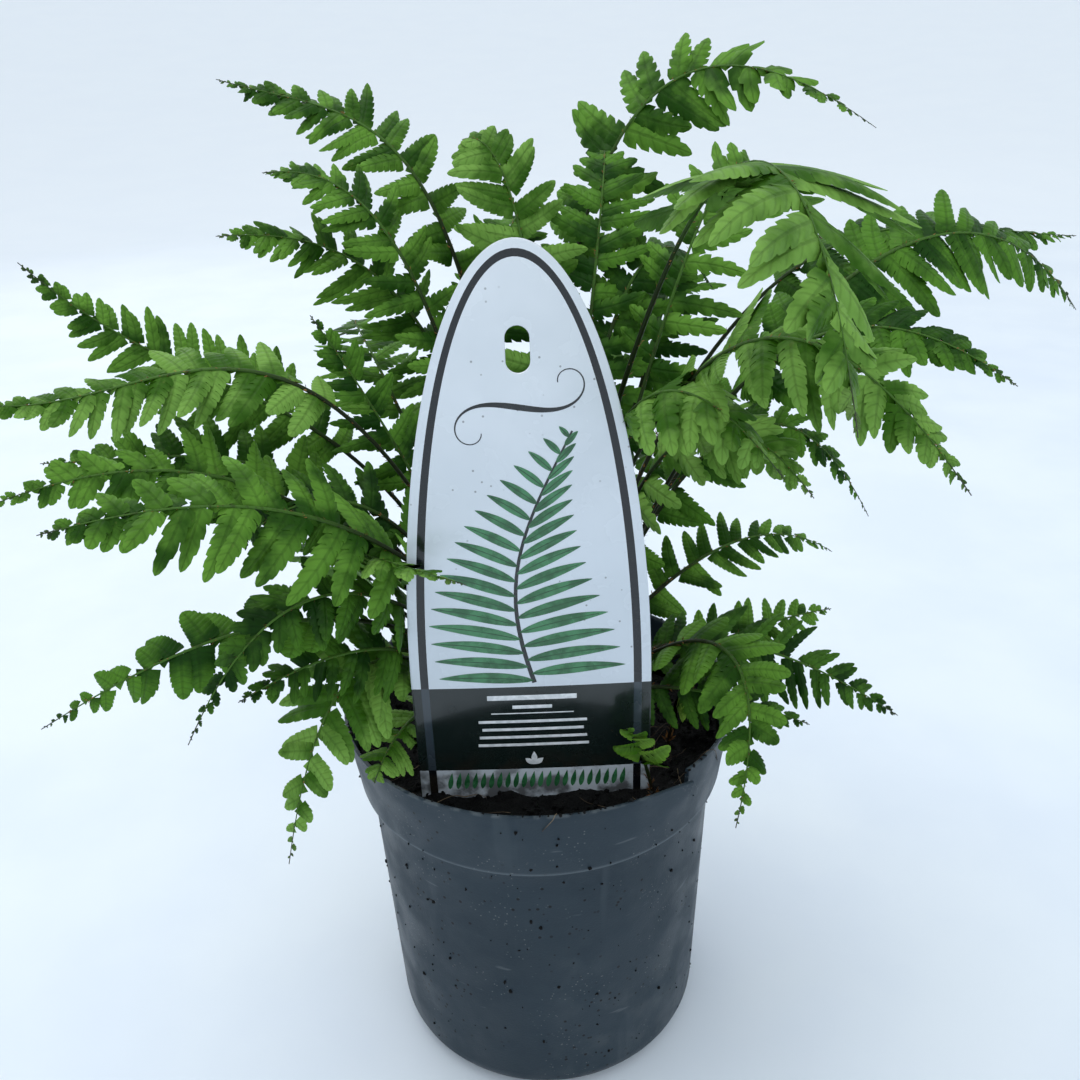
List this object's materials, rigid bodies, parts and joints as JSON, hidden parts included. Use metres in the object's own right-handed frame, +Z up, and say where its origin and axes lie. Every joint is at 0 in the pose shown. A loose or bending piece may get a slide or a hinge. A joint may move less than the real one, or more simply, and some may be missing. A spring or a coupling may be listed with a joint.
{
  "type": "potted scaly male fern",
  "caption": "Bushy fern with arching fronds cut into leaflets, growing in a round plastic nursery pot filled with peat, with a plain stick-in label.",
  "frame": {"origin": "middle of the pot's flat underside", "axes": "+Z up along the pot's axis; the label's printed face looks along -Y; +X is to the right seen from the label's side"},
  "size_m": [0.3365, 0.2313, 0.331],
  "materials": {
    "pot_plastic": "satin",
    "peat": "matte",
    "rhizome": "matte",
    "label_plastic": "gloss",
    "leaf_green": "satin",
    "leaf_dark_green": "satin",
    "leaf_bright_green": "satin",
    "leaf_shade_green": "satin",
    "young_green": "satin"
  },
  "bodies": {
    "root": {"pot": "pot_plastic", "soil": "peat", "rhizome": "rhizome", "label": "label_plastic", "frond_01": "leaf_bright_green", "frond_02": "leaf_green", "frond_03": "leaf_green", "frond_04": "leaf_bright_green", "frond_05": "leaf_green", "frond_06": "leaf_green", "frond_07": "leaf_dark_green", "frond_08": "leaf_dark_green", "frond_09": "leaf_dark_green", "frond_10": "leaf_green", "frond_11": "leaf_dark_green", "frond_12": "leaf_bright_green", "frond_13": "leaf_bright_green", "frond_14": "leaf_green", "frond_15": "leaf_green", "frond_16": "leaf_bright_green", "frond_17": "leaf_dark_green", "frond_18": "leaf_green", "frond_19": "leaf_shade_green", "frond_20": "leaf_green", "frond_21": "leaf_shade_green", "frond_22": "leaf_green", "frond_23": "leaf_dark_green", "frond_24": "leaf_shade_green", "frond_25": "leaf_shade_green", "frond_26": "leaf_bright_green", "frond_27": "leaf_bright_green", "frond_28": "leaf_dark_green", "frond_29": "leaf_dark_green", "frond_30": "leaf_green", "frond_31": "leaf_shade_green", "frond_32": "leaf_dark_green", "frond_33": "leaf_bright_green", "frond_34": "leaf_dark_green", "frond_35": "leaf_green", "frond_36": "leaf_shade_green", "frond_37": "leaf_dark_green", "frond_38": "leaf_bright_green", "frond_39": "leaf_green", "young_frond_1": "young_green", "young_frond_2": "young_green"}
  },
  "joints": []
}
